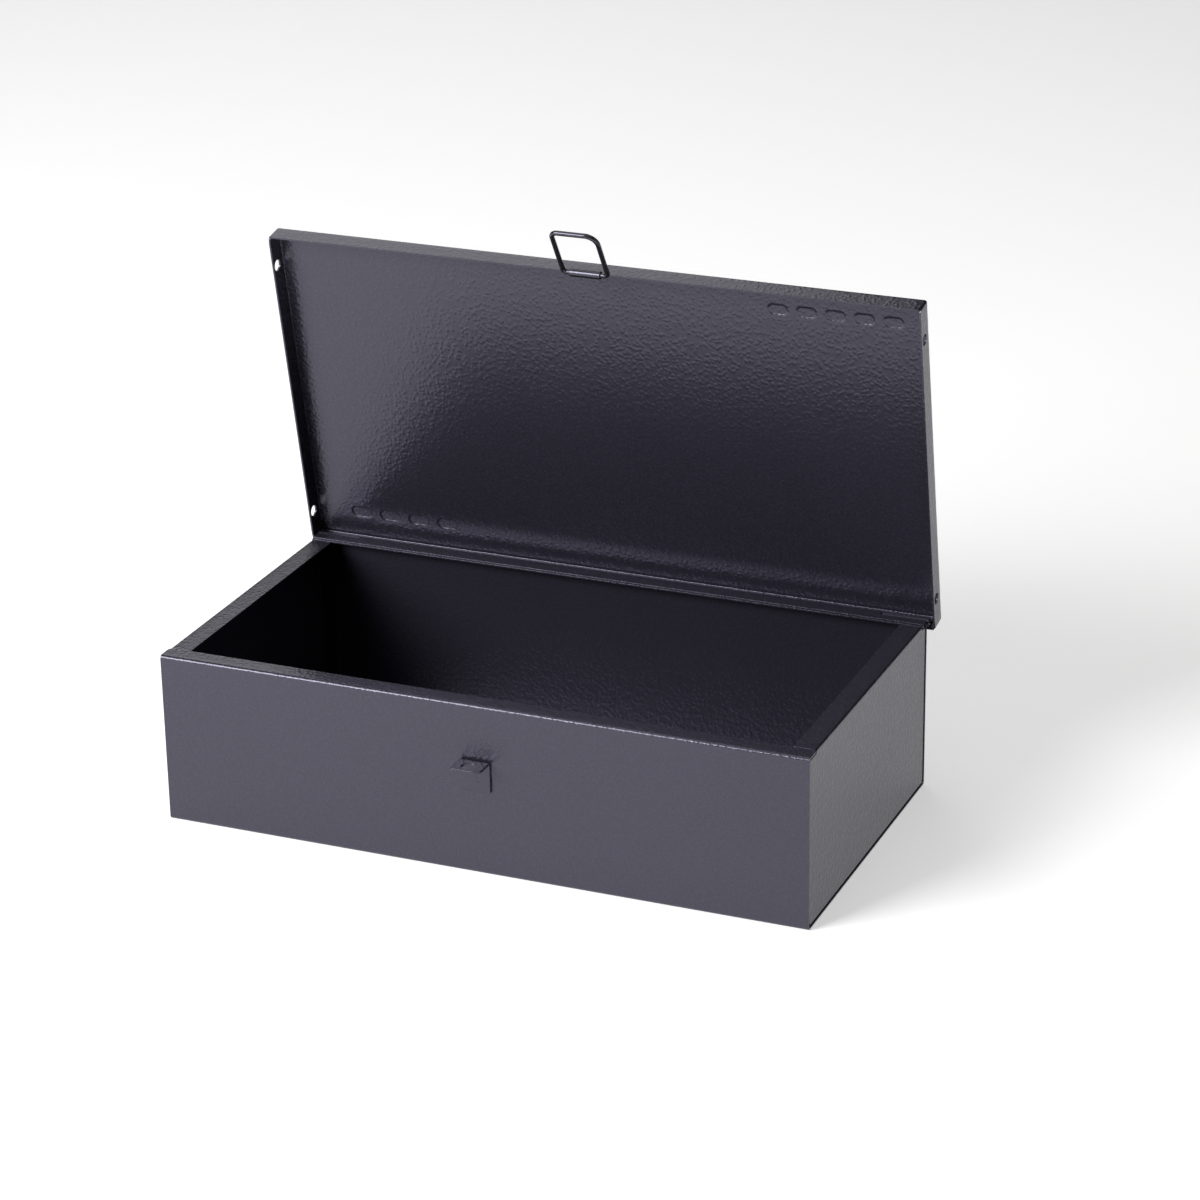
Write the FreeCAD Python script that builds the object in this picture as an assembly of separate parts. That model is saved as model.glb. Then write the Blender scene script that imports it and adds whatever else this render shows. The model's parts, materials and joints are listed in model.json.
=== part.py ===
"""Hinged steel box with a lift-up lid, a wire bail and a padlock bracket.

Frame: origin at the middle of the base's underside, +X to the right along the hinge, +Y to the
back, +Z up. Lengths are in millimetres and angles in degrees. The lid stands open and the bail
leans up and forward, which is the rest position of both joints.
"""
import FreeCAD, Part
import math
import os

# ---- driving dimensions -------------------------------------------------------------------
SHEET = 1.0                 # body and lid sheet
BODY_WIDTH = 400.0          # along X, over the folded front and back
BODY_DEPTH = 204.0          # along Y
BODY_HEIGHT = 105.0         # floor underside to the top of the rim
BEND = 1.0                  # inside radius of the body's folds
FRONT_RIM = 12.0            # inward flange along the front
BACK_RIM = 8.0              # inward flange along the back
RIM_CORNER = 3.0            # corner radius at the free edge of the front rim
RIM_END = 1.2               # corner radius where the front rim begins
SIDE_RIM = 13.4             # inward flange on each end panel
SIDE_INSET = 0.4            # end panels stand in from the ends of the front sheet
END_BEND = 0.4              # inside radius of the end panels' folds
END_RELIEF = 2.5            # notch where two of an end panel's folds meet
WELD_FLANGE = 12.0          # end panel flanges that lie against front, floor and back
SEAM = 0.2                  # gap left at butted seams

HINGE_LEAF = 1.0            # sheet of both hinge leaves
PIN_RADIUS = 1.5
PIN_CLEARANCE = 0.1         # radial running clearance in the knuckles
AXIS_BEHIND = 3.0           # hinge axis behind the back wall
PIN_STICKS_OUT = 0.7        # pin beyond each outer knuckle
LEAF_FRONT = 7.0            # front edge of the fixed leaf in from the back wall
LEAF_ENDS_BACK = 0.4        # back edge of the fixed leaf's flat ends in from the back wall
LEAF_GAP = 0.6              # lid leaf's lower edge above the middle knuckle
FIXED_KNUCKLE = 171.0       # half length of the middle knuckle, which the body carries
LID_KNUCKLE = (171.6, 200.6)  # inner and outer end of each knuckle that the lid carries

LID_WIDTH = 409.0
LID_FLANGE = 13.0           # depth of the lid's flanges
LID_ABOVE_AXIS = 11.0       # top of the closed lid above the hinge axis
LID_FRONT_GAP = 2.0         # inside of the lid's front flange to the front panel
LID_BEND = 1.5              # inside radius of the lid's folds
LID_OPEN = 79.4             # angle of the open lid from closed
LID_HOLE = 3.5              # radius of the holes in the lid's side flanges
LID_HOLE_UP = 4.7           # their centres above the flange's free edge
LID_HOLE_FRONT = 21.5       # centre of the front pair in from the lid's front
LID_HOLE_BACK = 19.4        # centre of the back pair in from the lid's back
LID_CORNER = (2.1, 2.4)     # height and length cut off the side flanges' free corners
MARK_HEIGHT = 0.5           # pressed bars stand out this far
MARK_NARROWER = 1.0         # a bar's recess is this much smaller than the bar
MARK_ROWS = [               # (row's middle in x, y, number, pitch, length, height)
    (149.0, -88.0, 5, 17.4, 13.0, 7.5), (-144.0, 90.1, 4, 19.6, 14.5, 8.0)]

BAIL_WIRE = 1.5             # radius of the bail's wire
BAIL_WIDTH = 28.0           # across the arms, centre to centre
BAIL_REACH = 33.4           # knuckle to far bar, centre to centre
BAIL_CORNERS = (2.6, 4.0, 7.0, 2.6)  # corner radii: left pivot, left bar, right bar, right pivot
BAIL_KNUCKLE = 19.0         # length of the rolled strap
BAIL_SHIFT = 2.8            # strap stands a little to the right of the middle
BAIL_LIFT = 69.0            # angle of the bail from hanging, seen in the closed lid
STRAP = 0.9                 # sheet of the rolled strap
STRAP_DOWN = 0.5            # strap's upper edge below the lid's fold

BRACKET_WIDTH = 18.5
BRACKET_TOP = 71.5          # height of the ledge's upper face
BRACKET_SHEET = 1.5
BRACKET_LEDGE = 15.5        # reach in front of the front panel
BRACKET_DROP = 19.0         # height of the leg against the front panel
LOCK_HOLE = 4.25            # radius of the padlock hole
LOCK_HOLE_OUT = 9.6         # its centre in front of the front panel
BRACKET_BEND = 1.0          # inside radius of the bracket's fold
LEDGE_CORNERS = (2.5, 4.5)  # left and right corner radii of the ledge
WELD_RADIUS = 6.0           # weld mark on the leg: radius of the electrode's tip
WELD_DEPTH = 0.35
WELD_PLACE = (2.4, 59.0)    # its x and z

HALF_W = BODY_WIDTH / 2
HALF_D = BODY_DEPTH / 2
KNUCKLE_IN = PIN_RADIUS + PIN_CLEARANCE
KNUCKLE_OUT = KNUCKLE_IN + HINGE_LEAF
KNUCKLE_MID = KNUCKLE_IN + HINGE_LEAF / 2
AXIS_Y = HALF_D + AXIS_BEHIND
AXIS_Z = BODY_HEIGHT + HINGE_LEAF - KNUCKLE_OUT
LID_TOP = AXIS_Z + LID_ABOVE_AXIS
LID_BACK = AXIS_Y + KNUCKLE_OUT + SHEET
LID_FRONT = -HALF_D - LID_FRONT_GAP - SHEET
LID_EDGE = LID_TOP - LID_FLANGE
LEAF_EDGE = AXIS_Z + KNUCKLE_OUT + LEAF_GAP
BAIL_ROLL_IN = BAIL_WIRE + PIN_CLEARANCE
BAIL_ROLL_OUT = BAIL_ROLL_IN + STRAP
BAIL_Y = LID_FRONT + SHEET + STRAP - BAIL_ROLL_OUT
BAIL_Z = LID_EDGE - BAIL_ROLL_OUT - SEAM

X_AXIS = FreeCAD.Vector(1, 0, 0)


# ---- small helpers --------------------------------------------------------------------------
def vec(x, y, z):
    return FreeCAD.Vector(x, y, z)


def box(x, y, z):
    """Box between the lower and upper limits given for each axis."""
    return Part.makeBox(x[1] - x[0], y[1] - y[0], z[1] - z[0], vec(x[0], y[0], z[0]))


def polar(centre, radius, degrees):
    angle = math.radians(degrees)
    return (centre[0] + radius * math.cos(angle), centre[1] + radius * math.sin(angle))


def corner_path(points, radius):
    """Lines through the points with each inner corner rounded to the radius."""
    path = []
    start = points[0]
    for before, here, after in zip(points, points[1:], points[2:]):
        first = math.atan2(here[1] - before[1], here[0] - before[0])
        second = math.atan2(after[1] - here[1], after[0] - here[0])
        turn = (second - first + math.pi) % (2 * math.pi) - math.pi
        side = math.copysign(1.0, turn)
        back_off = radius * math.tan(abs(turn) / 2)
        leave = (here[0] - back_off * math.cos(first), here[1] - back_off * math.sin(first))
        centre = (leave[0] - side * radius * math.sin(first), leave[1] + side * radius * math.cos(first))
        angle = math.degrees(first) - side * 90
        path.append(("line", start, leave))
        path.append(("arc", centre, radius, angle, angle + math.degrees(turn)))
        start = polar(centre, radius, angle + math.degrees(turn))
    path.append(("line", start, points[-1]))
    return path


def side_points(path, offset):
    """The path moved to its left by the offset, as a list of two- or three-point steps."""
    steps = []
    for step in path:
        if step[0] == "line":
            (x0, y0), (x1, y1) = step[1], step[2]
            length = math.hypot(x1 - x0, y1 - y0)
            shift = (-(y1 - y0) * offset / length, (x1 - x0) * offset / length)
            steps.append([(x0 + shift[0], y0 + shift[1]), (x1 + shift[0], y1 + shift[1])])
        else:
            centre, radius, begin, end = step[1:]
            moved = radius - offset if end > begin else radius + offset
            steps.append([polar(centre, moved, angle) for angle in (begin, (begin + end) / 2, end)])
    return steps


def strip(path, thickness, place, sweep):
    """Sheet whose middle line is the path: place maps (u, v) into space, sweep is its width."""
    left = side_points(path, thickness / 2)
    right = [list(reversed(step)) for step in reversed(side_points(path, -thickness / 2))]
    edges = []
    for step in left + [[left[-1][-1], right[0][0]]] + right + [[right[-1][-1], left[0][0]]]:
        points = [place(*point) for point in step]
        if len(points) == 2:
            edges.append(Part.makeLine(points[0], points[1]))
        else:
            edges.append(Part.Arc(points[0], points[1], points[2]).toShape())
    return Part.Face(Part.Wire(edges)).extrude(sweep)


def across(path, thickness, x0, x1):
    """Strip with its section in the YZ plane, running from x0 to x1."""
    return strip(path, thickness, lambda y, z: vec(x0, y, z), vec(x1 - x0, 0, 0))


def fore_aft(path, thickness, y0, y1):
    """Strip with its section in the XZ plane, running from y0 to y1."""
    return strip(path, thickness, lambda x, z: vec(x, y0, z), vec(0, y1 - y0, 0))


def upright(path, thickness, z0, z1):
    """Strip with its section in the XY plane, running from z0 to z1."""
    return strip(path, thickness, lambda x, y: vec(x, y, z0), vec(0, 0, z1 - z0))


def joined(shapes):
    """One solid from touching or overlapping shapes."""
    return shapes[0].multiFuse(shapes[1:]).removeSplitter().Solids[0]


def rounded_corner(x, y, radius, toward_x, toward_y, low, high):
    """Waste to cut from an upright corner so that it is left round."""
    block = box(sorted((x, x + toward_x * radius)), sorted((y, y + toward_y * radius)), (low, high))
    post = Part.makeCylinder(radius, high - low, vec(x + toward_x * radius, y + toward_y * radius, low))
    return block.cut(post)


def pill(x, y, length, height, low, high):
    """Upright round-ended block, its long side along X."""
    radius = height / 2
    reach = length / 2 - radius
    middle = box((x - reach, x + reach), (y - radius, y + radius), (low, high))
    ends = [Part.makeCylinder(radius, high - low, vec(x + side * reach, y, low)) for side in (-1, 1)]
    return joined([middle] + ends)


def with_open_lid(shape):
    """The shape turned with the lid from closed to its open rest position."""
    turned = shape.copy()
    turned.rotate(vec(0, AXIS_Y, AXIS_Z), X_AXIS, -LID_OPEN)
    return turned


# ---- body -----------------------------------------------------------------------------------
def body_wrapper():
    """Front, floor and back folded from one sheet, with the front and back rim flanges."""
    half = SHEET / 2
    outline = [
        (-HALF_D + FRONT_RIM, BODY_HEIGHT - half), (-HALF_D + half, BODY_HEIGHT - half),
        (-HALF_D + half, half), (HALF_D - half, half),
        (HALF_D - half, BODY_HEIGHT - half), (HALF_D - BACK_RIM, BODY_HEIGHT - half)]
    sheet = across(corner_path(outline, BEND + half), SHEET, -HALF_W, HALF_W)
    under_rim = BODY_HEIGHT - 2 * SHEET
    for side in (-1, 1):
        end = side * HALF_W
        sheet = sheet.cut(rounded_corner(
            end, -HALF_D + FRONT_RIM, RIM_CORNER, -side, -1, under_rim, BODY_HEIGHT + SHEET))
        sheet = sheet.cut(rounded_corner(
            end, -HALF_D, RIM_END, -side, 1, under_rim, BODY_HEIGHT + SHEET))
    return sheet.Solids[0]


def end_panel(side):
    """Pan-shaped end: an outer wall with a rim flange and three flanges welded to the wrapper."""
    half = SHEET / 2
    wall = HALF_W - SIDE_INSET - half
    radius = END_BEND + half
    inner = wall + half - WELD_FLANGE
    rim = [(side * (wall + half - SIDE_RIM), BODY_HEIGHT - half), (side * wall, BODY_HEIGHT - half),
           (side * wall, BODY_HEIGHT / 2)]
    foot = [(side * wall, BODY_HEIGHT / 2), (side * wall, SHEET + half), (side * inner, SHEET + half)]
    front_inside = -HALF_D + SHEET + half
    foot_end = HALF_D - SHEET - END_RELIEF
    ring = [(side * inner, front_inside), (side * wall, front_inside),
            (side * wall, -front_inside), (side * inner, -front_inside)]
    pieces = [
        fore_aft(corner_path(rim, radius), SHEET, -HALF_D + FRONT_RIM + SEAM, HALF_D - BACK_RIM - SEAM),
        fore_aft(corner_path(foot, radius), SHEET, -foot_end, foot_end),
        upright(corner_path(ring, radius), SHEET, SHEET + END_RELIEF, BODY_HEIGHT - 2 * SHEET - SEAM)]
    return joined(pieces)


# ---- hinge ----------------------------------------------------------------------------------
def hinge_leaf_body():
    """Strip on the back rim, its middle rolled down behind the wall around the pin."""
    level = BODY_HEIGHT + HINGE_LEAF / 2
    front = HALF_D - LEAF_FRONT
    flat = across([("line", (front, level), (HALF_D - LEAF_ENDS_BACK, level))],
                  HINGE_LEAF, -HALF_W, HALF_W)
    rolled = [("line", (front, level), (AXIS_Y, level)),
              ("arc", (AXIS_Y, AXIS_Z), KNUCKLE_MID, 90.0, -200.0)]
    knuckle = across(rolled, HINGE_LEAF, -FIXED_KNUCKLE, FIXED_KNUCKLE)
    return joined([flat, knuckle])


def hinge_leaf_lid():
    """Strip inside the lid's back flange, its two ends rolled forward under the pin."""
    back = AXIS_Y + KNUCKLE_MID
    top = AXIS_Z + LID_ABOVE_AXIS - SHEET - LID_BEND
    outer = LID_KNUCKLE[1]
    pieces = [across([("line", (back, top), (back, LEAF_EDGE))], HINGE_LEAF, -outer, outer)]
    rolled = [("line", (back, top), (back, AXIS_Z)),
              ("arc", (AXIS_Y, AXIS_Z), KNUCKLE_MID, 0.0, -290.0)]
    for side in (-1, 1):
        ends = sorted(side * x for x in LID_KNUCKLE)
        pieces.append(across(rolled, HINGE_LEAF, ends[0], ends[1]))
    return with_open_lid(joined(pieces))


def hinge_pin():
    """Straight wire through all three knuckles."""
    length = 2 * (LID_KNUCKLE[1] + PIN_STICKS_OUT)
    return Part.makeCylinder(PIN_RADIUS, length, vec(-length / 2, AXIS_Y, AXIS_Z), X_AXIS)


# ---- lid ------------------------------------------------------------------------------------
def round_pan(inset, radius, low):
    """Block of the lid's plan, inset all round, with its side and top edges rounded."""
    half = LID_WIDTH / 2 - inset
    top = LID_TOP - inset
    block = box((-half, half), (LID_FRONT + inset, LID_BACK - inset), (low, top))
    round_edges = []
    for edge in block.Edges:
        heights = [vertex.Point.z for vertex in edge.Vertexes]
        if max(heights) > top - 0.01:
            round_edges.append(edge)
    return block.makeFillet(radius, round_edges)


def pressed_marks():
    """Plain round-ended bars: x, y, length and height of each."""
    for middle, y, count, pitch, length, height in MARK_ROWS:
        for number in range(count):
            yield middle + (number - (count - 1) / 2) * pitch, y, length, height


def lid_pan():
    """Shallow tray: a plate with four flanges, a hole near each end of its sides, pressed bars."""
    pan = round_pan(0.0, LID_BEND + SHEET, LID_EDGE)
    pan = pan.cut(round_pan(SHEET, LID_BEND, LID_EDGE - SHEET))
    knuckle_notch = box((-LID_KNUCKLE[0], LID_KNUCKLE[0]), (LID_BACK - 1.5 * SHEET, LID_BACK + SHEET),
                        (LID_EDGE - SHEET, LEAF_EDGE))
    pan = pan.cut(knuckle_notch)
    inside = LID_TOP - SHEET
    for x, y, length, height in pressed_marks():
        pan = pan.fuse(pill(x, y, length, height, LID_TOP - MARK_HEIGHT, LID_TOP + MARK_HEIGHT))
        pan = pan.cut(pill(x, y, length - MARK_NARROWER, height - MARK_NARROWER,
                           inside - MARK_HEIGHT, inside + MARK_HEIGHT))
    for y in (LID_FRONT + LID_HOLE_FRONT, LID_BACK - LID_HOLE_BACK):
        start = vec(-LID_WIDTH / 2 - SHEET, y, LID_EDGE + LID_HOLE_UP)
        pan = pan.cut(Part.makeCylinder(LID_HOLE, LID_WIDTH + 2 * SHEET, start, X_AXIS))
    tall, long = LID_CORNER
    for side in (-1, 1):
        outside = side * (LID_WIDTH / 2 + SHEET)
        reach = vec(-side * (2.5 * SHEET), 0, 0)
        for corner, inward in ((LID_BACK, -1), (LID_FRONT, 1)):
            outline = [(-long, -tall), (-long, 2 * tall), (2 * long, -tall), (-long, -tall)]
            cut = Part.makePolygon([vec(outside, corner + inward * y, LID_EDGE + z) for y, z in outline])
            pan = pan.cut(Part.Face(cut).extrude(reach))
    return with_open_lid(pan.removeSplitter().Solids[0])


# ---- bail and bracket -------------------------------------------------------------------------
def bail_strap():
    """Short strap inside the lid's front flange, rolled forward under its edge around the bail."""
    middle = LID_FRONT + SHEET + STRAP / 2
    top = LID_TOP - SHEET - LID_BEND - STRAP_DOWN
    rolled = [("line", (middle, top), (middle, BAIL_Z)),
              ("arc", (BAIL_Y, BAIL_Z), BAIL_ROLL_OUT - STRAP / 2, 0.0, -300.0)]
    left = BAIL_SHIFT - BAIL_KNUCKLE / 2
    return with_open_lid(across(rolled, STRAP, left, left + BAIL_KNUCKLE))


def bail_wire():
    """Closed loop of round wire, hanging from the strap and then lifted and opened with the lid."""
    left, right = BAIL_SHIFT - BAIL_WIDTH / 2, BAIL_SHIFT + BAIL_WIDTH / 2
    low = BAIL_Z - BAIL_REACH
    corners = [vec(x, BAIL_Y, z) for x, z in ((left, BAIL_Z), (left, low), (right, low), (right, BAIL_Z))]
    bends = []
    for index, (corner, radius) in enumerate(zip(corners, BAIL_CORNERS)):
        back = (corners[index - 1] - corner).normalize() * radius
        ahead = (corners[(index + 1) % 4] - corner).normalize() * radius
        middle = corner + (back + ahead) * (1 - math.sqrt(0.5))
        bends.append((corner + back, middle, corner + ahead))
    edges = []
    for index, bend in enumerate(bends):
        edges.append(Part.Arc(*bend).toShape())
        edges.append(Part.makeLine(bend[2], bends[(index + 1) % 4][0]))
    section = Part.Wire(Part.makeCircle(BAIL_WIRE, bends[0][0], X_AXIS))
    loop = Part.Wire(edges).makePipeShell([section], True, False)
    loop.rotate(vec(0, BAIL_Y, BAIL_Z), X_AXIS, -BAIL_LIFT)
    return with_open_lid(loop.Solids[0])


def catch_bracket():
    """Angle bracket on the front: a leg welded to the panel and a ledge with the padlock hole."""
    half = BRACKET_SHEET / 2
    face = -HALF_D - half
    level = BRACKET_TOP - half
    tip = -HALF_D - BRACKET_LEDGE
    outline = [(face, BRACKET_TOP - BRACKET_DROP), (face, level), (tip, level)]
    side = BRACKET_WIDTH / 2
    piece = across(corner_path(outline, BRACKET_BEND + half), BRACKET_SHEET, -side, side)
    for end, inward, radius in ((-side, 1, LEDGE_CORNERS[0]), (side, -1, LEDGE_CORNERS[1])):
        piece = piece.cut(rounded_corner(
            end, tip, radius, inward, 1, BRACKET_TOP - 2 * BRACKET_SHEET, BRACKET_TOP + 1))
    piece = piece.cut(Part.makeCylinder(
        LOCK_HOLE, 4 * BRACKET_SHEET, vec(0, -HALF_D - LOCK_HOLE_OUT, BRACKET_TOP - 2 * BRACKET_SHEET)))
    tip_centre = vec(WELD_PLACE[0], -HALF_D - BRACKET_SHEET - WELD_RADIUS + WELD_DEPTH, WELD_PLACE[1])
    return piece.cut(Part.makeSphere(WELD_RADIUS, tip_centre)).Solids[0]


def main():
    nodes = {
        "body_wrapper": body_wrapper(),
        "end_panel_left": end_panel(-1),
        "end_panel_right": end_panel(1),
        "hinge_leaf_body": hinge_leaf_body(),
        "hinge_leaf_lid": hinge_leaf_lid(),
        "hinge_pin": hinge_pin(),
        "lid_pan": lid_pan(),
        "bail_strap": bail_strap(),
        "bail_wire": bail_wire(),
        "catch_bracket": catch_bracket(),
    }
    os.makedirs("parts", exist_ok=True)
    for name, shape in nodes.items():
        shape.exportStep("parts/" + name + ".step")
        limits = shape.BoundBox
        print(name, shape.ShapeType, shape.isValid(), round(shape.Volume),
              [round(value, 2) for value in (limits.XMin, limits.XMax, limits.YMin, limits.YMax,
                                             limits.ZMin, limits.ZMax)])


main()
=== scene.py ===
import json
import math

import bmesh
import bpy
import numpy as np
from bpy.props import FloatProperty, FloatVectorProperty, IntProperty, PointerProperty
from mathutils import Euler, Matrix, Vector


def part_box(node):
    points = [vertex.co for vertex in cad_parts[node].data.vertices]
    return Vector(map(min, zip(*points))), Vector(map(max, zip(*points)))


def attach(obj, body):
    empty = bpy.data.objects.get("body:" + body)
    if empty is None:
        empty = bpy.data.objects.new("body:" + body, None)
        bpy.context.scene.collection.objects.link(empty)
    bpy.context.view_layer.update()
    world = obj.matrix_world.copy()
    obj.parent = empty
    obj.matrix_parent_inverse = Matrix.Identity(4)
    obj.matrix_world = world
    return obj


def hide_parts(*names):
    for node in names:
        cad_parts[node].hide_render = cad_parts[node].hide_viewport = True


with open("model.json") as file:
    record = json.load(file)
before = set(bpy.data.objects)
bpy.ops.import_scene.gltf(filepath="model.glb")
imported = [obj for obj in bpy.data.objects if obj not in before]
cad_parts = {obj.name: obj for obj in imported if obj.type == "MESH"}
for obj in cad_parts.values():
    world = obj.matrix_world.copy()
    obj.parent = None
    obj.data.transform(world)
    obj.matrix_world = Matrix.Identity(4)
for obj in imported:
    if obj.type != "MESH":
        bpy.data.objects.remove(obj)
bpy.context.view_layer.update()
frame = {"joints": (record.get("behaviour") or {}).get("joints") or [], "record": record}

bl_info = {
    "name": "Hinged Steel Box",
    "version": (1, 0, 0),
    "blender": (4, 5, 0),
    "location": "View3D > Sidebar > Steel Box",
    "description": "Folded sheet, hinge, bail and paint of a hinged steel box, built on its packed frame",
    "category": "Object",
}

MM = 0.001
TINY = 1e-6
SHEET_GRID = 5 * MM         # grid spacing of plain sheet
RIM_GRID = 0.4 * MM         # where the front rim's ends are rounded
BRACKET_GRID = 0.3 * MM     # across the bracket's leg, fine enough for its weld dimple
LEDGE_GRID = 0.7 * MM       # along the ledge's outline

# ---- places and sizes that the frame gives, in metres -----------------------------------------
HALF_W, HALF_D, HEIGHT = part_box("body_wrapper")[1]
PANEL_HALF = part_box("end_panel_right")[1].x
SIDE_RIM_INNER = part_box("end_panel_right")[0].x
LID_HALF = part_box("lid_pan")[1].x
LEAF_LOW, LEAF_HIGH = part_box("hinge_leaf_body")
LID_LEAF_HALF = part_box("hinge_leaf_lid")[1].x
PIN_LOW, PIN_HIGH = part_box("hinge_pin")
STRAP_LOW, STRAP_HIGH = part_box("bail_strap")
BRACKET_LOW, BRACKET_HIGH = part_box("catch_bracket")
JOINTS = {joint["name"]: joint for joint in frame["joints"]}
AXIS_Y, AXIS_Z = JOINTS["lid_hinge"]["pos_m"][1:]
LID_OPEN = math.radians(-JOINTS["lid_hinge"]["range_deg"][0])
BAIL_LIFT = math.radians(-JOINTS["bail_pivot"]["range_deg"][0])
LOCK_HOLE = next(mount for mount in frame["record"]["mounts"] if mount["name"] == "padlock_hole")


def length(name, description, default):
    return FloatProperty(name=name, description=description, default=default, min=0.0,
                         unit="LENGTH", precision=5)


def fraction(name, description, default):
    return FloatProperty(name=name, description=description, default=default, min=0.0, max=1.0)


def tint(name, description, default):
    return FloatVectorProperty(name=name, description=description, subtype="COLOR", size=3,
                               default=default, min=0.0, max=1.0)


def turned_by(name, description, degrees):
    return FloatProperty(name=name, description=description, subtype="ANGLE",
                         default=math.radians(degrees))


class BoxSizes(bpy.types.PropertyGroup):
    """Sizes of the folded body."""
    sheet: length("Sheet", "Thickness of the body and lid sheet", 1.0 * MM)
    bend: length("Bend", "Inside radius of the body's folds", 1.0 * MM)
    front_rim: length("Front rim", "Inward flange along the front", 12.0 * MM)
    back_rim: length("Back rim", "Inward flange along the back", 8.0 * MM)
    weld_flange: length("Weld flange", "End panel flanges against front, floor and back", 12.0 * MM)
    seam: length("Seam", "Gap left at butted seams", 0.2 * MM)
    end_bend: length("End bend", "Inside radius of the end panels' folds", 0.4 * MM)
    relief: length("Relief", "Notch at the end panels' folded corners", 2.5 * MM)
    edge_round: length("Edge round", "Rounding that the paint leaves on cut edges", 0.22 * MM)
    slack: length("Slack", "How far the flat walls dip between their folds", 0.22 * MM)
    rim_corner: length("Rim corner", "Rounding at the ends of the front rim", 3.0 * MM)
    fold_corner: length("Fold corner", "Rounding at the ends of the front fold", 1.2 * MM)


class HingeSizes(bpy.types.PropertyGroup):
    """Sizes of the two hinge leaves and the pin."""
    leaf: length("Leaf", "Sheet of both leaves", 1.0 * MM)
    pin_radius: length("Pin radius", "Radius of the hinge wire", 1.5 * MM)
    clearance: length("Clearance", "Radial clearance around the pin", 0.1 * MM)
    middle_half: length("Middle knuckle", "Half length of the body's knuckle", 171.0 * MM)
    end_start: length("End knuckle", "Where each of the lid's knuckles begins", 171.6 * MM)
    edge_gap: length("Edge gap", "Lid leaf's lower edge above the knuckle", 0.6 * MM)


class LidSizes(bpy.types.PropertyGroup):
    """Sizes of the tray lid, given for the closed lid."""
    above_axis: length("Above axis", "Top of the closed lid above the hinge axis", 11.0 * MM)
    flange: length("Flange", "Depth of the lid's flanges", 13.0 * MM)
    bend: length("Bend", "Space that the lid's folds take inside", 1.5 * MM)
    fold: length("Fold", "Inside radius of the lid's folds", 0.6 * MM)
    front_gap: length("Front gap", "Front flange's inside to the front panel", 2.0 * MM)
    hole_radius: length("Hole radius", "Holes in the side flanges", 3.5 * MM)
    hole_up: length("Hole height", "Hole centres above the flange's free edge", 4.7 * MM)
    front_hole: length("Front hole", "First hole in from the front", 21.5 * MM)
    back_hole: length("Back hole", "Second hole in from the back", 19.4 * MM)
    mark_height: length("Mark height", "How far the pressed bars stand out", 0.5 * MM)
    grid: length("Grid", "Grid spacing across the pressed bars", 0.5 * MM)
    hole_margin: length("Hole margin", "Sheet around each hole that its ring of quads takes", 0.75 * MM)
    nick: length("Nick", "Depth of the slanted nick at the flanges' corners", 2.1 * MM)


class CatchSizes(bpy.types.PropertyGroup):
    """Sizes of the bail, its strap and the padlock bracket."""
    wire: length("Wire", "Radius of the bail's wire", 1.5 * MM)
    clearance: length("Clearance", "Radial clearance around the bail's wire", 0.1 * MM)
    reach: length("Reach", "Strap to far bar, centre to centre", 33.4 * MM)
    width: length("Width", "Across the bail's arms, centre to centre", 28.0 * MM)
    strap: length("Strap", "Sheet of the rolled strap", 0.9 * MM)
    bracket: length("Bracket", "Sheet of the bracket", 1.5 * MM)
    bracket_bend: length("Bracket bend", "Inside radius of the bracket's fold", 1.0 * MM)
    near_corner: length("Near corner", "Radius of the ledge's left corner", 2.5 * MM)
    far_corner: length("Far corner", "Radius of the ledge's right corner", 4.5 * MM)
    weld_depth: length("Weld depth", "Depth of the weld dimple on the bracket", 0.35 * MM)
    weld_flat: length("Weld flat", "Radius of the dimple's floor", 0.2 * MM)
    weld_reach: length("Weld reach", "Radius of the dimple's rim", 1.4 * MM)
    weld_x: length("Weld x", "Dimple to the right of the middle", 2.4 * MM)
    weld_z: length("Weld z", "Dimple above the table", 59.0 * MM)
    upper_corner: length("Upper corner", "Bend radius of the bail beside its strap", 2.6 * MM)
    left_corner: length("Left corner", "Bend radius at the far bar's left end", 4.0 * MM)
    right_corner: length("Right corner", "Bend radius at the far bar's right end", 7.0 * MM)
    edge_round: length("Edge round", "Rounding of the bracket's cut edges", 0.42 * MM)
    wire_sides: IntProperty(name="Wire sides", description="Facets around each wire", default=28, min=8)


class PaintLook(bpy.types.PropertyGroup):
    """Colours and texture of the paint."""
    grey: tint("Grey", "Colour of the hammered coat", (0.020, 0.019, 0.028))
    bail_grey: tint("Bail grey", "Colour of the bail's paint", (0.014, 0.014, 0.017))
    sheen: tint("Sheen", "Tint of the coat's mirror reflection", (0.82, 0.80, 1.0))
    gloss: fraction("Gloss", "Strength of the coat's mirror reflection", 0.8)
    wire_steel: tint("Wire steel", "Colour of the bare hinge wire", (0.11, 0.11, 0.115))
    roughness: fraction("Roughness", "Roughness of the hammered coat", 0.22)
    bail_roughness: fraction("Bail roughness", "Roughness of the bail's paint", 0.13)
    cells: FloatProperty(name="Cells", description="Hammered cells per metre", default=400.0, min=1.0)
    relief: length("Relief", "Height of the hammered cells", 0.075 * MM)


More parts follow.
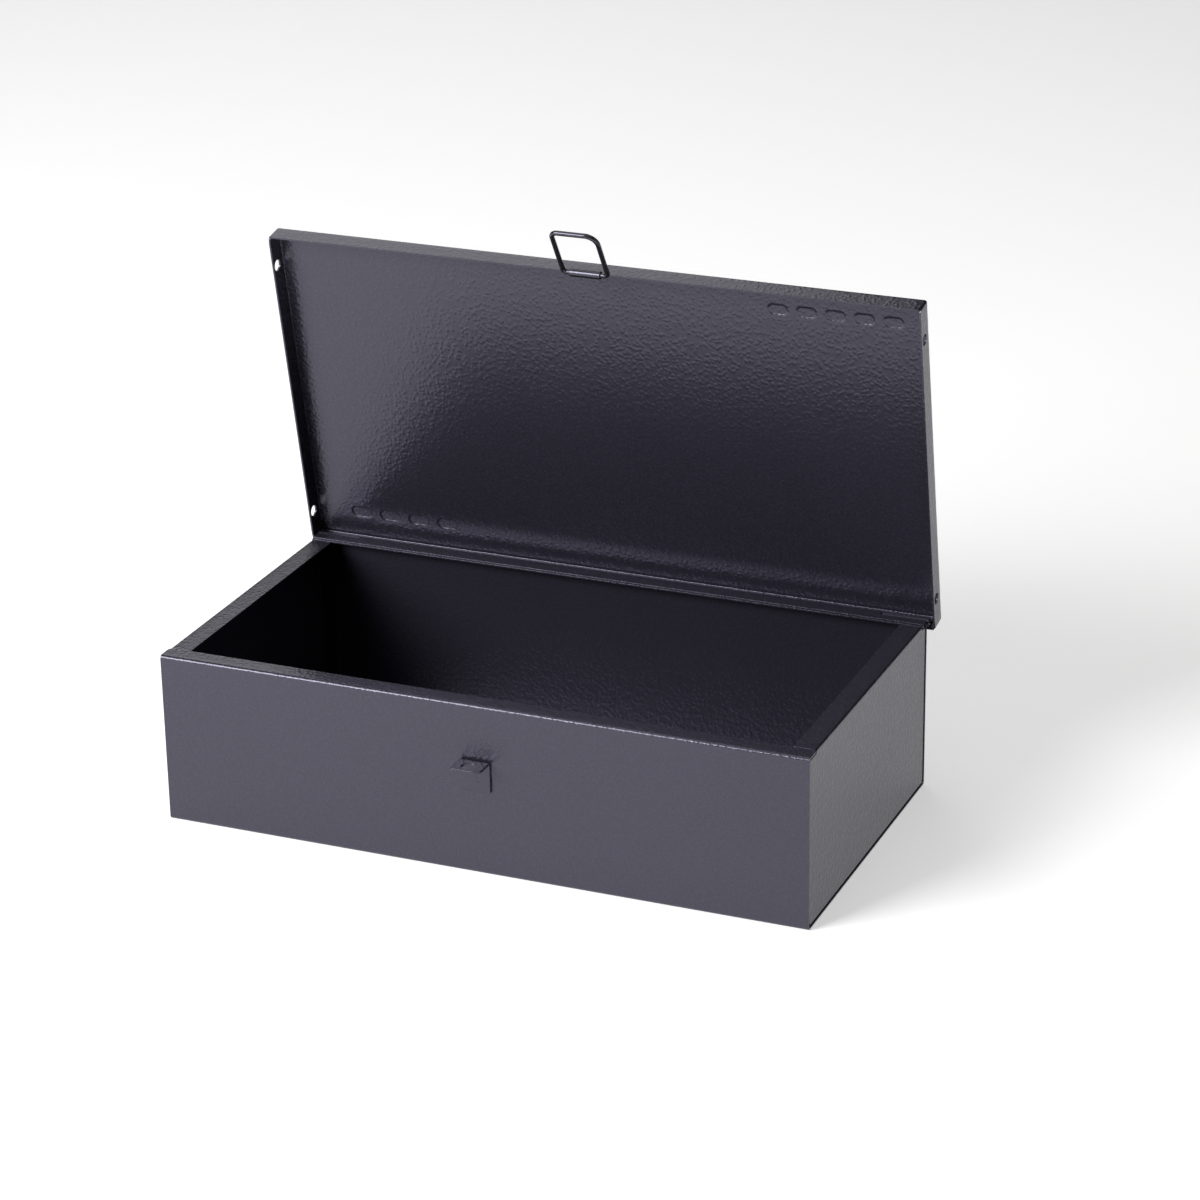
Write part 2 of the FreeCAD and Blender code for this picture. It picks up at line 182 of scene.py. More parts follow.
class StageLook(bpy.types.PropertyGroup):
    """Camera, floor and light."""
    azimuth: turned_by("Azimuth", "Camera's turn to the right of the front", 23.03)
    elevation: turned_by("Elevation", "Camera's height above level", 22.53)
    roll: turned_by("Roll", "Camera's small lean", -0.93)
    distance: length("Distance", "Camera to the point it looks at", 2.244)
    aim: FloatVectorProperty(name="Aim", description="Point that the camera looks at", size=3,
                             subtype="XYZ", default=(0.0115, 0.0544, 0.1099))
    lens: FloatProperty(name="Lens", description="Focal length in millimetres", default=113.2)
    floor: tint("Floor", "Colour of the floor", (0.86, 0.86, 0.86))
    glow: fraction("Glow", "Light that the lit table gives from below", 0.46)
    reach: length("Reach", "Floor's edge from the middle", 6.0)
    sky: fraction("Sky", "Weak light from all around", 0.02)


# ---- lines and grids ----------------------------------------------------------------------------
def spaced(start, end, step, stops=()):
    """Rising values from start to end, evenly spaced at most one step apart between the stops."""
    inside = [stop for stop in stops if start + TINY < stop < end - TINY]
    marks = [start] + sorted(inside) + [end]
    parts = [np.linspace(a, b, max(1, math.ceil((b - a) / step - TINY)), endpoint=False)
             for a, b in zip(marks, marks[1:])]
    return np.concatenate(parts + [np.array([end])])


def straight(start, end, step, stops=()):
    """Points on the line from start to end, with one at each stop (axis, value) that it crosses."""
    start, end = np.asarray(start, float), np.asarray(end, float)
    span = float(np.hypot(*(end - start)))
    fractions = [(value - start[axis]) / (end - start)[axis] for axis, value in stops
                 if abs((end - start)[axis]) > TINY]
    share = spaced(0.0, 1.0, step / span, fractions)
    return start + share[:, None] * (end - start)


def arc(centre, radius, begin, end, step=math.radians(9)):
    """Points centre + radius (cos a, sin a) for a from begin to end."""
    count = max(3, math.ceil(abs(end - begin) / step) + 1)
    angle = np.linspace(begin, end, count)
    return np.asarray(centre, float) + radius * np.column_stack([np.cos(angle), np.sin(angle)])


def folded(corners, radius, step, stops=()):
    """Middle line of folded sheet: straight runs joined at each inner corner by a tangent arc."""
    runs = []
    start = np.asarray(corners[0], float)
    for before, here, after in zip(corners, corners[1:], corners[2:]):
        first = math.atan2(here[1] - before[1], here[0] - before[0])
        second = math.atan2(after[1] - here[1], after[0] - here[0])
        turn = (second - first + math.pi) % (2 * math.pi) - math.pi
        side = math.copysign(1.0, turn)
        ahead = np.array([math.cos(first), math.sin(first)])
        leave = np.asarray(here, float) - ahead * radius * math.tan(abs(turn) / 2)
        centre = leave + side * radius * np.array([-ahead[1], ahead[0]])
        bend = arc(centre, radius, first - side * math.pi / 2, first - side * math.pi / 2 + turn)
        runs += [straight(start, leave, step, stops)[:-1], bend[:-1]]
        start = bend[-1]
    return np.concatenate(runs + [straight(start, corners[-1], step, stops)])


def cells(rows, columns, keep=None, closed=False):
    """Quads of a grid of points, row by row; keep picks cells, closed joins the last column."""
    index = np.arange(rows * columns).reshape(rows, columns)
    if closed:
        index = np.concatenate([index, index[:, :1]], axis=1)
    quads = np.stack([index[:-1, :-1], index[:-1, 1:], index[1:, 1:], index[1:, :-1]], axis=-1)
    return quads.reshape(-1, 4) if keep is None else quads[keep]


def across(line, stations):
    """Grid whose rows follow a (y, z) line and whose columns stand at the x stations."""
    rows, columns = len(line), len(stations)
    points = np.empty((rows, columns, 3))
    points[..., 0] = stations[None, :]
    points[..., 1] = line[:, 0:1]
    points[..., 2] = line[:, 1:2]
    return points


def between(values):
    """Middles of neighbouring values, which say where each grid cell lies."""
    return (values[:-1] + values[1:]) / 2


def smooth_step(low, high, value):
    """0 below low and 1 above high, joined by the cubic 3t^2 - 2t^3."""
    share = np.clip((value - low) / (high - low), 0.0, 1.0)
    return share * share * (3 - 2 * share)


def dip(u, v):
    """How a clamped panel sags: the product of two sine arches, 1 in the middle and 0 at the rim."""
    return np.sin(np.pi * np.clip(u, 0, 1)) * np.sin(np.pi * np.clip(v, 0, 1))


def ripple(x, y):
    """Slow unevenness of flat sheet between -1 and 1: three crossed sine waves."""
    return (np.sin(31.0 * x + 1.3) * np.sin(23.0 * y + 0.4) + np.sin(17.0 * x - 29.0 * y)
            + np.sin(47.0 * x + 11.0 * y + 2.1)) / 3


def holed_patch(outline, centre, radius, rings=5):
    """Ring of quads from a closed outline in to a round hole: straight blends of the outline with
    the circle's point in the same direction from the centre. Returns (u, v) points and quads."""
    outline = np.asarray(outline, float)
    away = outline - centre
    circle = centre + radius * away / np.linalg.norm(away, axis=1)[:, None]
    share = np.linspace(0.0, 1.0, rings + 1)[:, None, None]
    points = outline[None] * (1 - share) + circle[None] * share
    return points, cells(rings + 1, len(outline), closed=True)


def open_lid(points):
    """Points of the closed lid turned about the hinge axis to the lid's rest position."""
    y, z = points[..., 1] - AXIS_Y, points[..., 2] - AXIS_Z
    turned = points.copy()
    turned[..., 1] = AXIS_Y + y * math.cos(LID_OPEN) + z * math.sin(LID_OPEN)
    turned[..., 2] = AXIS_Z - y * math.sin(LID_OPEN) + z * math.cos(LID_OPEN)
    return turned


def add_piece(name, parts, body, node, material):
    """Object from (points, quads) parts: equal points are merged, and winding is made the same."""
    points = np.concatenate([part[0].reshape(-1, 3) for part in parts])
    starts = np.cumsum([0] + [part[0].size // 3 for part in parts[:-1]])
    quads = np.concatenate([part[1] + start for part, start in zip(parts, starts)])
    mesh = bpy.data.meshes.new(name)
    mesh.from_pydata(points.tolist(), [], quads.tolist())
    build = bmesh.new()
    build.from_mesh(mesh)
    bmesh.ops.remove_doubles(build, verts=build.verts, dist=TINY)
    bmesh.ops.dissolve_degenerate(build, edges=build.edges, dist=TINY)
    bmesh.ops.recalc_face_normals(build, faces=build.faces)
    for face in build.faces:
        face.smooth = True
    build.to_mesh(mesh)
    build.free()
    piece = bpy.data.objects.new(name, mesh)
    bpy.context.scene.collection.objects.link(piece)
    mesh.materials.append(material)
    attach(piece, body)
    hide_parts(node)
    return piece


def give_thickness(piece, thickness, edge_round):
    """Sheet thickness about the middle surface, and the paint's rounding of its cut edges."""
    wall = piece.modifiers.new("sheet thickness", "SOLIDIFY")
    wall.thickness = thickness
    wall.offset = 0.0
    wall.use_even_offset = True
    wall.use_quality_normals = True
    rounding = piece.modifiers.new("painted edge", "BEVEL")
    rounding.width = edge_round
    rounding.segments = 3
    rounding.limit_method = "ANGLE"
    rounding.angle_limit = math.radians(42)
    rounding.harden_normals = True
    return piece


# ---- paint --------------------------------------------------------------------------------------
def group_sockets(group, inputs, outputs):
    for name, kind, default in inputs:
        socket = group.interface.new_socket(name, in_out="INPUT", socket_type=kind)
        socket.default_value = default
    for name, kind in outputs:
        group.interface.new_socket(name, in_out="OUTPUT", socket_type=kind)


def link(tree, start, end):
    tree.links.new(start, end)


def math_node(tree, operation, first, second=None):
    """Math node; each input is a socket to link or a number to set."""
    node = tree.nodes.new("ShaderNodeMath")
    node.operation = operation
    for socket, value in zip(node.inputs, (first, second)):
        if value is None:
            continue
        if isinstance(value, (int, float)):
            socket.default_value = value
        else:
            link(tree, value, socket)
    return node.outputs[0]


def noise(tree, vector, scale, detail=2.0, roughness=0.5):
    node = tree.nodes.new("ShaderNodeTexNoise")
    node.inputs["Scale"].default_value = scale
    node.inputs["Detail"].default_value = detail
    node.inputs["Roughness"].default_value = roughness
    link(tree, vector, node.inputs["Vector"])
    return node


def remap(tree, value, low, high, out_low=0.0, out_high=1.0):
    node = tree.nodes.new("ShaderNodeMapRange")
    node.interpolation_type = "SMOOTHSTEP"
    for name, number in (("From Min", low), ("From Max", high), ("To Min", out_low), ("To Max", out_high)):
        node.inputs[name].default_value = number
    link(tree, value, node.inputs["Value"])
    return node.outputs["Result"]


def hammered_group():
    """Hammered coat: rounded cells parted by narrow valleys, with a fine orange peel over them.

    Height is in units of the relief; the mask is 1 on the cells' crowns and 0 in the valleys."""
    tree = bpy.data.node_groups.new("hammered coat", "ShaderNodeTree")
    group_sockets(tree, [("Cells", "NodeSocketFloat", 400.0), ("Peel", "NodeSocketFloat", 0.25)],
                  [("Height", "NodeSocketFloat"), ("Crown", "NodeSocketFloat")])
    source = tree.nodes.new("NodeGroupInput")
    result = tree.nodes.new("NodeGroupOutput")
    place = tree.nodes.new("ShaderNodeTexCoord").outputs["Object"]
    wander = noise(tree, place, 240.0, 2.0)
    shift = tree.nodes.new("ShaderNodeVectorMath")
    shift.operation = "MULTIPLY_ADD"
    shift.inputs[1].default_value = (0.0022, 0.0022, 0.0022)
    link(tree, wander.outputs["Color"], shift.inputs[0])
    link(tree, place, shift.inputs[2])
    cell = tree.nodes.new("ShaderNodeTexVoronoi")
    cell.feature = "SMOOTH_F1"
    cell.inputs["Smoothness"].default_value = 0.55
    link(tree, shift.outputs[0], cell.inputs["Vector"])
    link(tree, source.outputs["Cells"], cell.inputs["Scale"])
    # Crown mask: besides roughness, it sets where painted shade goes into the coat's colour, darker in the
    # valleys and lighter on the crowns.
    crown = remap(tree, cell.outputs["Distance"], 0.12, 0.62, 1.0, 0.0)
    swell = noise(tree, place, 120.0, 2.0).outputs["Fac"]
    peel = noise(tree, place, 1100.0, 3.0, 0.6).outputs["Fac"]
    fine = math_node(tree, "MULTIPLY", peel, source.outputs["Peel"])
    broad = math_node(tree, "MULTIPLY", swell, 0.9)
    height = math_node(tree, "ADD", math_node(tree, "ADD", crown, broad), fine)
    link(tree, height, result.inputs["Height"])
    link(tree, crown, result.inputs["Crown"])
    return tree


def handling_group():
    """Light handling: faint smudges that dull the gloss, and a thin dust that settles from above."""
    tree = bpy.data.node_groups.new("light handling", "ShaderNodeTree")
    group_sockets(tree, [("Smudge", "NodeSocketFloat", 0.5), ("Dust", "NodeSocketFloat", 0.5)],
                  [("Dull", "NodeSocketFloat"), ("Dust", "NodeSocketFloat")])
    source = tree.nodes.new("NodeGroupInput")
    result = tree.nodes.new("NodeGroupOutput")
    place = tree.nodes.new("ShaderNodeTexCoord").outputs["Object"]
    patch = remap(tree, noise(tree, place, 9.0, 4.0, 0.6).outputs["Fac"], 0.48, 0.72)
    streak = remap(tree, noise(tree, place, 70.0, 3.0).outputs["Fac"], 0.40, 0.66)
    smudge = math_node(tree, "MULTIPLY", math_node(tree, "MULTIPLY", patch, streak),
                       source.outputs["Smudge"])
    facing = tree.nodes.new("ShaderNodeSeparateXYZ")
    link(tree, tree.nodes.new("ShaderNodeNewGeometry").outputs["True Normal"], facing.inputs[0])
    upward = remap(tree, facing.outputs["Z"], 0.35, 1.0)
    specks = remap(tree, noise(tree, place, 900.0, 2.0).outputs["Fac"], 0.52, 0.70)
    settled = math_node(tree, "MULTIPLY", math_node(tree, "MULTIPLY", upward, specks),
                        source.outputs["Dust"])
    link(tree, smudge, result.inputs["Dull"])
    link(tree, settled, result.inputs["Dust"])
    return tree


def use_group(tree, group, **values):
    node = tree.nodes.new("ShaderNodeGroup")
    node.node_tree = group
    for name, value in values.items():
        node.inputs[name].default_value = value
    return node


def blend_colour(tree, share, first, second):
    """Mix of two colours, each a tuple or a socket, by a share from 0 to 1."""
    node = tree.nodes.new("ShaderNodeMix")
    node.data_type = "RGBA"
    link(tree, share, node.inputs["Factor"])
    for socket, value in ((node.inputs[6], first), (node.inputs[7], second)):
        if isinstance(value, tuple):
            socket.default_value = value
        else:
            link(tree, value, socket)
    return node.outputs[2]


def tone(colour, factor):
    return tuple(min(1.0, channel * factor) for channel in colour) + (1.0,)


def painted_material(name, colour, roughness, cells_per_metre, relief, peel, smudge, dust, groups):
    """Coat of paint on sheet steel, from the hammered and handling groups."""
    material = bpy.data.materials.new(name)
    material.use_nodes = True
    tree = material.node_tree
    shader = tree.nodes["Principled BSDF"]
    hammered = use_group(tree, groups["hammered"], Cells=cells_per_metre, Peel=peel)
    handling = use_group(tree, groups["handling"], Smudge=smudge, Dust=dust)
    place = tree.nodes.new("ShaderNodeTexCoord").outputs["Object"]
    drift = remap(tree, noise(tree, place, 14.0, 3.0).outputs["Fac"], 0.3, 0.7)
    # Painted shade: the base colour is darker in the hammered cells' valleys and a little lighter on their
    # crowns, standing in for the relief's light and shade.
    cell_shaded_colour = blend_colour(tree, hammered.outputs["Crown"], tone(colour, 0.90), tone(colour, 1.06))
    varied = blend_colour(tree, math_node(tree, "MULTIPLY", drift, 0.10), cell_shaded_colour, tone(colour, 1.35))
    dusted = blend_colour(tree, math_node(tree, "MULTIPLY", handling.outputs["Dust"], 0.10), varied,
                          (0.42, 0.41, 0.40, 1.0))
    link(tree, dusted, shader.inputs["Base Color"])
    worn = math_node(tree, "MULTIPLY", handling.outputs["Dull"], 0.06)
    rough_valley = remap(tree, hammered.outputs["Crown"], 0.0, 1.0, roughness + 0.04, roughness - 0.02)
    link(tree, math_node(tree, "ADD", rough_valley, worn), shader.inputs["Roughness"])
    look = bpy.context.scene.steel_box_paint
    shader.inputs["Specular IOR Level"].default_value = look.gloss
    shader.inputs["Specular Tint"].default_value = tuple(look.sheen) + (1.0,)
    bump = tree.nodes.new("ShaderNodeBump")
    bump.inputs["Strength"].default_value = 1.0
    bump.inputs["Distance"].default_value = relief
    link(tree, hammered.outputs["Height"], bump.inputs["Height"])
    link(tree, bump.outputs["Normal"], shader.inputs["Normal"])
    return material


def drawn_wire_material(name, colour):
    """Bare drawn wire: bright metal with faint lengthwise draw lines."""
    material = bpy.data.materials.new(name)
    material.use_nodes = True
    tree = material.node_tree
    shader = tree.nodes["Principled BSDF"]
    place = tree.nodes.new("ShaderNodeTexCoord").outputs["Object"]
    stretch = tree.nodes.new("ShaderNodeMapping")
    stretch.inputs["Scale"].default_value = (0.02, 1.0, 1.0)
    link(tree, place, stretch.inputs["Vector"])
    lines = noise(tree, stretch.outputs["Vector"], 4000.0, 2.0).outputs["Fac"]
    link(tree, blend_colour(tree, lines, tone(colour, 0.8), tone(colour, 1.1)), shader.inputs["Base Color"])
    link(tree, remap(tree, lines, 0.3, 0.7, 0.28, 0.42), shader.inputs["Roughness"])
    shader.inputs["Metallic"].default_value = 1.0
    bump = tree.nodes.new("ShaderNodeBump")
    bump.inputs["Distance"].default_value = 0.01 * MM
    link(tree, lines, bump.inputs["Height"])
    link(tree, bump.outputs["Normal"], shader.inputs["Normal"])
    return material


_paints = {}


def paint(name):
    """Material by name, made once from the paint settings."""
    if not _paints:
        look = bpy.context.scene.steel_box_paint
        groups = {"hammered": hammered_group(), "handling": handling_group()}
        grey, fitting_grey = tuple(look.grey), tone(tuple(look.grey), 0.95)[:3]
        for key, label, coat, roughness, finer, lower, peel, smudge, dust in (
                ("body", "hammered grey body", grey, look.roughness, 1.0, 1.0, 0.25, 0.25, 0.5),
                ("lid", "hammered grey lid", grey, look.roughness, 1.0, 1.0, 0.25, 0.3, 0.4),
                ("fittings", "hammered grey fittings", fitting_grey, look.roughness - 0.02, 1.3, 0.35,
                 0.2, 0.4, 0.3),
                ("bail", "gloss grey bail", tuple(look.bail_grey), look.bail_roughness, 1.6, 0.2,
                 0.15, 0.5, 0.1)):
            _paints[key] = painted_material(label, coat, roughness, look.cells * finer,
                                            look.relief * lower, peel, smudge, dust, groups)
        _paints["pin"] = drawn_wire_material("drawn steel wire", tuple(look.wire_steel))
    return _paints[name]


# ---- body ---------------------------------------------------------------------------------------
class STEELBOX_OT_wrapper(bpy.types.Operator):
    """Front, floor and back folded from one sheet, with rounded ends on the front rim"""
    bl_idname = "steelbox.wrapper"
    bl_label = "Folded Wrapper"

    def execute(self, context):
        sizes = context.scene.steel_box_body
        half = sizes.sheet / 2
        corners = [(-HALF_D + sizes.front_rim, HEIGHT - half), (-HALF_D + half, HEIGHT - half),
                   (-HALF_D + half, half), (HALF_D - half, half),
                   (HALF_D - half, HEIGHT - half), (HALF_D - sizes.back_rim, HEIGHT - half)]
        fine = [(0, -HALF_D + sizes.front_rim - k * RIM_GRID) for k in range(1, 8)]
        line = folded(corners, sizes.bend + half, SHEET_GRID, fine)
        stations = spaced(-HALF_W, HALF_W, SHEET_GRID, [-HALF_W + MM, HALF_W - MM])
        points = across(line, stations)
        y, z = line[:, 0], line[:, 1]
        rim = z > HEIGHT - 2 * sizes.sheet
        short = np.zeros(len(line))
        for radius, from_edge in ((sizes.rim_corner, -HALF_D + sizes.front_rim - y),
                                  (sizes.fold_corner, y + HALF_D)):
            inside = np.clip(radius - from_edge, 0.0, radius)
            cut = radius - np.sqrt(radius ** 2 - inside ** 2)
            short = np.maximum(short, np.where(rim & (y < -HALF_D + 2 * sizes.front_rim), cut, 0.0))
        points[..., 0] *= ((HALF_W - short) / HALF_W)[:, None]
        across_share = (points[..., 0] / HALF_W + 1) / 2
        upward = points[..., 2] / HEIGHT
        uneven = 0.75 + 0.25 * ripple(points[..., 0], points[..., 2])
        push = sizes.slack * dip(across_share, upward) * uneven
        upright = (z < HEIGHT - 2 * MM) & (z > 2 * MM)
        front = (y < -HALF_D + sizes.sheet) & upright
        back = (y > HALF_D - sizes.sheet) & upright
        points[..., 1] += push * front[:, None] - push * back[:, None]
        piece = add_piece("body_wrapper_skin", [(points, cells(len(line), len(stations)))],
                          "box", "body_wrapper", paint("body"))
        give_thickness(piece, sizes.sheet, sizes.edge_round)
        return {"FINISHED"}


class STEELBOX_OT_end_panels(bpy.types.Operator):
    """Two pan-shaped ends, each a wall with a rim flange and three weld flanges"""
    bl_idname = "steelbox.end_panels"
    bl_label = "End Panels"

    def execute(self, context):
        sizes = context.scene.steel_box_body
        half = sizes.sheet / 2
        wall = PANEL_HALF - half
        inner = PANEL_HALF - sizes.weld_flange
        radius = sizes.end_bend + half
        floor_top = sizes.sheet + half
        side = HALF_D - sizes.sheet - half
        ring_low = sizes.sheet + sizes.relief
        ring_high = HEIGHT - 2 * sizes.sheet - sizes.seam
        rim_front = -HALF_D + sizes.front_rim + sizes.seam
        rim_back = HALF_D - sizes.back_rim - sizes.seam
        foot_end = HALF_D - sizes.sheet - sizes.relief
        upright = folded([(SIDE_RIM_INNER, HEIGHT - half), (wall, HEIGHT - half), (wall, floor_top),
                          (inner, floor_top)], radius, SHEET_GRID, [(1, ring_low), (1, ring_high)])
        ring = folded([(inner, -side), (wall, -side), (wall, side), (inner, side)], radius, SHEET_GRID,
                      [(1, rim_front), (1, rim_back), (1, -foot_end), (1, foot_end)])
        x = upright[:, None, 0] + ring[None, :, 0] - wall
        y = np.broadcast_to(ring[None, :, 1], x.shape)
        z = np.broadcast_to(upright[:, None, 1], x.shape)
        mid_z, mid_y = between(upright[:, 1])[:, None], between(ring[:, 1])[None, :]
        mid_x = between(ring[:, 0])[None, :]
        on_wall = mid_x > wall - TINY
        top = (mid_z > ring_high) & on_wall & (mid_y > rim_front) & (mid_y < rim_back)
        foot = (mid_z < ring_low) & on_wall & (np.abs(mid_y) < foot_end)
        keep = top | foot | ((mid_z > ring_low) & (mid_z < ring_high))
        flat = dip((y / HALF_D + 1) / 2, z / HEIGHT) * (x > wall - TINY)
        x = x - sizes.slack * 0.7 * flat * (0.8 + 0.2 * ripple(y, z))
        for direction, end in ((-1, "left"), (1, "right")):
            points = np.stack([direction * x, y, z], axis=-1)
            piece = add_piece(f"end_panel_{end}_skin", [(points, cells(*x.shape, keep=keep))],
                              "box", f"end_panel_{end}", paint("body"))
            give_thickness(piece, sizes.sheet, sizes.edge_round)
        return {"FINISHED"}


# ---- hinge --------------------------------------------------------------------------------------
class STEELBOX_OT_hinge(bpy.types.Operator):
    """Two leaves rolled into three knuckles, and the wire that joins them"""
    bl_idname = "steelbox.hinge"
    bl_label = "Hinge"

    def execute(self, context):
        body = context.scene.steel_box_body
        sizes = context.scene.steel_box_hinge
        lid = context.scene.steel_box_lid
        middle = sizes.pin_radius + sizes.clearance + sizes.leaf / 2
        axis = (AXIS_Y, AXIS_Z)
        level = LEAF_HIGH.z - sizes.leaf / 2
        flat_end = HALF_D - 0.4 * MM
        run = straight((LEAF_LOW.y, level), (AXIS_Y, level), 2 * MM, [(0, flat_end)])
        line = np.concatenate([run[:-1], arc(axis, middle, math.pi / 2, math.radians(-200))])
        stations = spaced(-HALF_W, HALF_W, 6 * MM, [-sizes.middle_half, sizes.middle_half])
        rolled = np.arange(len(line) - 1) >= int(np.argmin(np.abs(run[:, 0] - flat_end)))
        in_middle = np.abs(between(stations)) < sizes.middle_half
        keep = ~rolled[:, None] | in_middle[None, :]
        points = across(line, stations)
        piece = add_piece("hinge_leaf_body_skin", [(points, cells(*points.shape[:2], keep=keep))],
                          "box", "hinge_leaf_body", paint("fittings"))
        give_thickness(piece, sizes.leaf, body.edge_round)

        top = AXIS_Z + lid.above_axis - body.sheet - lid.bend
        edge = AXIS_Z + middle + sizes.leaf / 2 + sizes.edge_gap
        run = straight((AXIS_Y + middle, top), (AXIS_Y + middle, AXIS_Z), 1.5 * MM, [(1, edge)])
        line = np.concatenate([run[:-1], arc(axis, middle, 0.0, math.radians(-290))])
        stations = spaced(-LID_LEAF_HALF, LID_LEAF_HALF, 6 * MM, [-sizes.end_start, sizes.end_start])
        rolled = np.arange(len(line) - 1) >= int(np.argmin(np.abs(run[:, 1] - edge)))
        keep = ~rolled[:, None] | (np.abs(between(stations)) > sizes.end_start)[None, :]
        points = open_lid(across(line, stations))
        piece = add_piece("hinge_leaf_lid_skin", [(points, cells(*points.shape[:2], keep=keep))],
                          "lid", "hinge_leaf_lid", paint("fittings"))
        give_thickness(piece, sizes.leaf, body.edge_round)

        chamfer = 0.3 * MM
        along = np.concatenate([[PIN_LOW.x, PIN_LOW.x], spaced(PIN_LOW.x + chamfer, PIN_HIGH.x - chamfer,
                                                              10 * MM), [PIN_HIGH.x, PIN_HIGH.x]])
        radii = np.full(len(along), sizes.pin_radius)
        radii[[0, -1]] = 0.0
        radii[[1, -2]] = sizes.pin_radius - chamfer
        turn = np.linspace(0, 2 * math.pi, 24, endpoint=False)
        points = np.stack([np.broadcast_to(along[:, None], (len(along), 24)),
                           AXIS_Y + radii[:, None] * np.cos(turn), AXIS_Z + radii[:, None] * np.sin(turn)],
                          axis=-1)
        add_piece("hinge_pin_wire", [(points, cells(len(along), 24, closed=True))],
                  "box", "hinge_pin", paint("pin"))
        return {"FINISHED"}


# ---- lid ----------------------------------------------------------------------------------------
def pressed_bars(front, back):
    """Plain round-ended bars pressed into the lid: (x, y, length, height) of each."""
    rows = ((149.0 * MM, front + 17.0 * MM, 5, 17.4 * MM, 13.0 * MM, 7.5 * MM),
            (-144.0 * MM, back - 18.5 * MM, 4, 19.6 * MM, 14.5 * MM, 8.0 * MM))
    return [(middle + (number - (count - 1) / 2) * pitch, y, long, tall)
            for middle, y, count, pitch, long, tall in rows for number in range(count)]


def bar_height(x, y, bars):
    """1 inside a bar and 0 outside: distance to the bar's middle line, less its half height."""
    height = np.zeros(np.broadcast(x, y).shape)
    for middle, level, long, tall in bars:
        beyond = np.maximum(np.abs(x - middle) - (long - tall) / 2, 0.0)
        outside = np.hypot(beyond, y - level) - tall / 2
        height = np.maximum(height, smooth_step(0.1 * MM, -0.9 * MM, outside))
    return height


